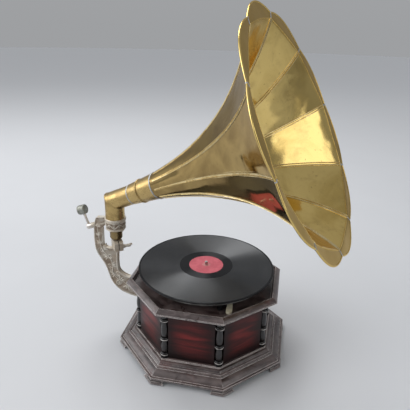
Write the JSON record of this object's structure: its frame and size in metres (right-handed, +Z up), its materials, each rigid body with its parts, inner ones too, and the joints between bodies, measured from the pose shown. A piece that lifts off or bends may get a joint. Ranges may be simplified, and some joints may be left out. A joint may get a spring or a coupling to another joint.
{
  "type": "gramophone",
  "caption": "Octagonal table gramophone with corner columns, spring motor, record on its turntable and a large petalled brass horn on a cast rear bracket.",
  "frame": {"origin": "on the floor under the turntable's spindle", "axes": "+X the way the horn points over the turntable, away from the bracket, +Z up along the spindle"},
  "size_m": [0.5945, 0.5743, 0.7246],
  "materials": {
    "mahogany": "polished",
    "ebonised_wood": "gloss",
    "cast_patina": "worn bronzed casting",
    "brass": "polished, tarnished",
    "solder": "dull solder",
    "steel": "worn",
    "dark_knob": "worn dark metal",
    "motor_iron": "plain",
    "platter_plate": "worn plating",
    "felt": "matte",
    "rubber": "matte",
    "shellac": "gloss",
    "label_paper": "matte",
    "ivory": "satin",
    "brake_leather": "matte",
    "grip_wood": "varnished"
  },
  "bodies": {
    "case": {"feet": "ebonised_wood", "base_board": "mahogany", "plinth_moulding": "mahogany", "wall_panels": "mahogany", "top_frame": "mahogany", "deck_board": "mahogany", "corner_columns": "ebonised_wood", "bracket": "cast_patina", "bracket_screws": "steel", "motor_top_plate": "motor_iron", "motor_bottom_plate": "motor_iron", "motor_pillars": "steel", "motor_washers": "rubber", "governor_posts": "motor_iron", "winding_bearing": "motor_iron", "wall_bush": "brass"},
    "horn": {"horn_elbow": "brass", "neck_ferrule": "brass", "solder_bands": "solder", "horn_seams": "brass", "horn_petal_1": "brass", "horn_petal_2": "brass", "horn_petal_3": "brass", "horn_petal_4": "brass", "horn_petal_5": "brass", "horn_petal_6": "brass", "horn_petal_7": "brass", "horn_petal_8": "brass", "horn_petal_9": "brass", "horn_petal_10": "brass"},
    "tone_socket": {"tone_arm_socket": "brass"},
    "wing": {"wing_screw": "cast_patina"},
    "clamp": {"clamp_screw": "steel", "clamp_knob": "dark_knob"},
    "turntable": {"platter": "platter_plate", "felt": "felt", "spindle": "steel", "spindle_pinion": "steel", "worm_wheel": "brass"},
    "disc": {"record": "shellac", "record_label": "label_paper"},
    "brake": {"brake_lever": "steel", "brake_grip": "ivory", "brake_pad": "brake_leather"},
    "barrel": {"spring_barrel": "brass", "mainspring": "steel"},
    "winding_arbor": {"barrel_arbor": "steel", "bevel_wheel": "steel"},
    "middle": {"middle_arbor": "steel", "middle_wheel": "brass"},
    "governor": {"governor_shaft": "steel", "governor_weights": "brass"},
    "crank": {"winding_shaft": "steel", "crank_rod": "steel"},
    "crank_handle": {"crank_grip": "grip_wood"}
  },
  "joints": [
    {"name": "horn_turn", "type": "hinge", "parent": "case", "child": "horn", "pos_m": [-0.2116, 0, 0.3238], "axis": [0, 0, 1], "range_deg": [-60, 60]},
    {"name": "tone_arm_swivel", "type": "hinge", "parent": "case", "child": "tone_socket", "pos_m": [-0.2116, 0, 0.24425], "axis": [0, 0, 1], "range_deg": [-100, 20]},
    {"name": "wing_screw_turn", "type": "hinge", "parent": "case", "child": "wing", "pos_m": [-0.2039, -0.00985, 0.2135], "axis": [0.788, 0.6157, 0], "range_deg": [-180, 180]},
    {"name": "clamp_screw_turn", "type": "hinge", "parent": "case", "child": "clamp", "pos_m": [-0.23015, 0, 0.271], "axis": [-0.9397, 0, -0.342], "range_deg": [-110, 110]},
    {"name": "turntable_spin", "type": "hinge", "parent": "case", "child": "turntable", "pos_m": [0, 0, 0.188], "axis": [0, 0, 1], "continuous": true},
    {"name": "record_lift", "type": "slide", "parent": "turntable", "child": "disc", "axis": [0, 0, 1], "range_m": [0, 0.06]},
    {"name": "brake_swing", "type": "hinge", "parent": "case", "child": "brake", "pos_m": [0.07017, -0.08665, 0.16], "axis": [0, 0, 1], "range_deg": [0, 8.5]},
    {"name": "barrel_spin", "type": "hinge", "parent": "case", "child": "barrel", "pos_m": [-0.0299, 0.05996, 0.054], "axis": [0, 0, 1], "continuous": true},
    {"name": "middle_spin", "type": "hinge", "parent": "case", "child": "middle", "pos_m": [0.01898, 0.0408, 0.054], "axis": [0, 0, 1], "continuous": true},
    {"name": "governor_spin", "type": "hinge", "parent": "case", "child": "governor", "pos_m": [0, -0.0269, 0.078], "axis": [1, 0, 0], "continuous": true},
    {"name": "crank_turn", "type": "hinge", "parent": "case", "child": "crank", "pos_m": [-0.0299, 0.143, 0.113], "axis": [0, 1, 0], "continuous": true},
    {"name": "arbor_turn", "type": "hinge", "parent": "case", "child": "winding_arbor", "pos_m": [-0.0299, 0.05996, 0.054], "axis": [0, 0, 1], "continuous": true},
    {"name": "crank_grip_spin", "type": "hinge", "parent": "crank", "child": "crank_handle", "pos_m": [-0.0299, 0.204, 0.033], "axis": [0, 1, 0], "continuous": true}
  ],
  "couplings": [
    {"joint": "middle_spin", "follows": "turntable_spin", "ratio": -0.2},
    {"joint": "barrel_spin", "follows": "turntable_spin", "ratio": 0.033333},
    {"joint": "governor_spin", "follows": "turntable_spin", "ratio": -10},
    {"joint": "arbor_turn", "follows": "crank_turn", "ratio": 0.5}
  ]
}
